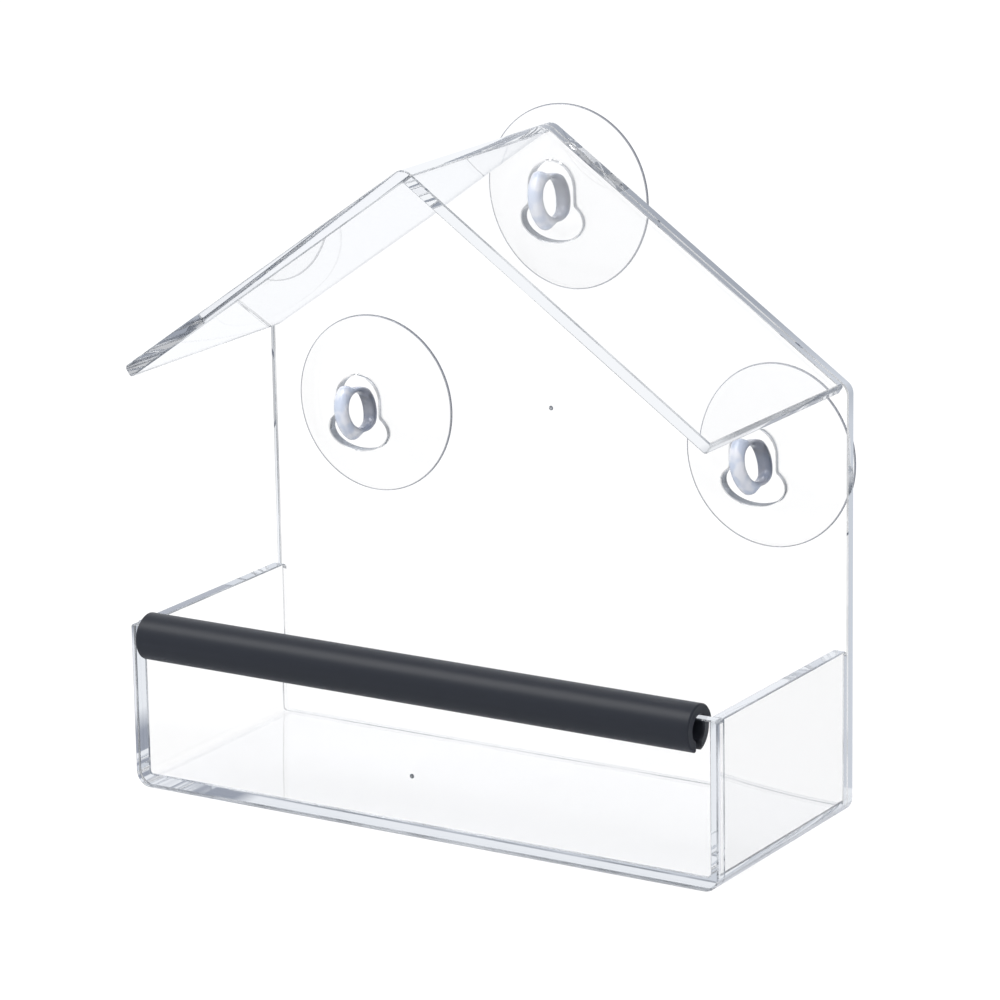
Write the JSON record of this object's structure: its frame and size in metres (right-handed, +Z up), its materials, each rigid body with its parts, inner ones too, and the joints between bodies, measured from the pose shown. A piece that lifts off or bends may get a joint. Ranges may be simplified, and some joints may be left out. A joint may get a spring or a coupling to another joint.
{
  "type": "window bird feeder",
  "caption": "Clear house-shaped bird feeder with a seed tray, a bent pitched roof, a black rubber perch and suction cups in keyholes for a window pane.",
  "frame": {"origin": "middle of the tray's underside, the face the feeder stands on", "axes": "+X to the right seen from the birds' side, +Y towards the window pane, +Z up"},
  "size_m": [0.15, 0.0718, 0.151],
  "materials": {
    "clear_acrylic": "clear polished acrylic sheet, edges blue-grey",
    "black_rubber": "matte black rubber with a soft sheen",
    "clear_vinyl": "clear soft PVC, faintly blue where thick"
  },
  "bodies": {
    "house": {"back_panel": "clear_acrylic", "roof": "clear_acrylic", "tray_trough": "clear_acrylic", "tray_front": "clear_acrylic", "perch_sleeve": "black_rubber"},
    "cup_left": {"suction_cup_left": "clear_vinyl"},
    "cup_right": {"suction_cup_right": "clear_vinyl"},
    "cup_top": {"suction_cup_top": "clear_vinyl"}
  },
  "joints": [
    {"name": "left_cup_turn", "type": "hinge", "parent": "house", "child": "cup_left", "pos_m": [-0.0515, 0.0292, 0.0771], "axis": [0, 1, 0], "continuous": true},
    {"name": "right_cup_turn", "type": "hinge", "parent": "house", "child": "cup_right", "pos_m": [0.0515, 0.0292, 0.0771], "axis": [0, 1, 0], "continuous": true},
    {"name": "top_cup_turn", "type": "hinge", "parent": "house", "child": "cup_top", "pos_m": [0, 0.0292, 0.1303], "axis": [0, 1, 0], "continuous": true}
  ]
}
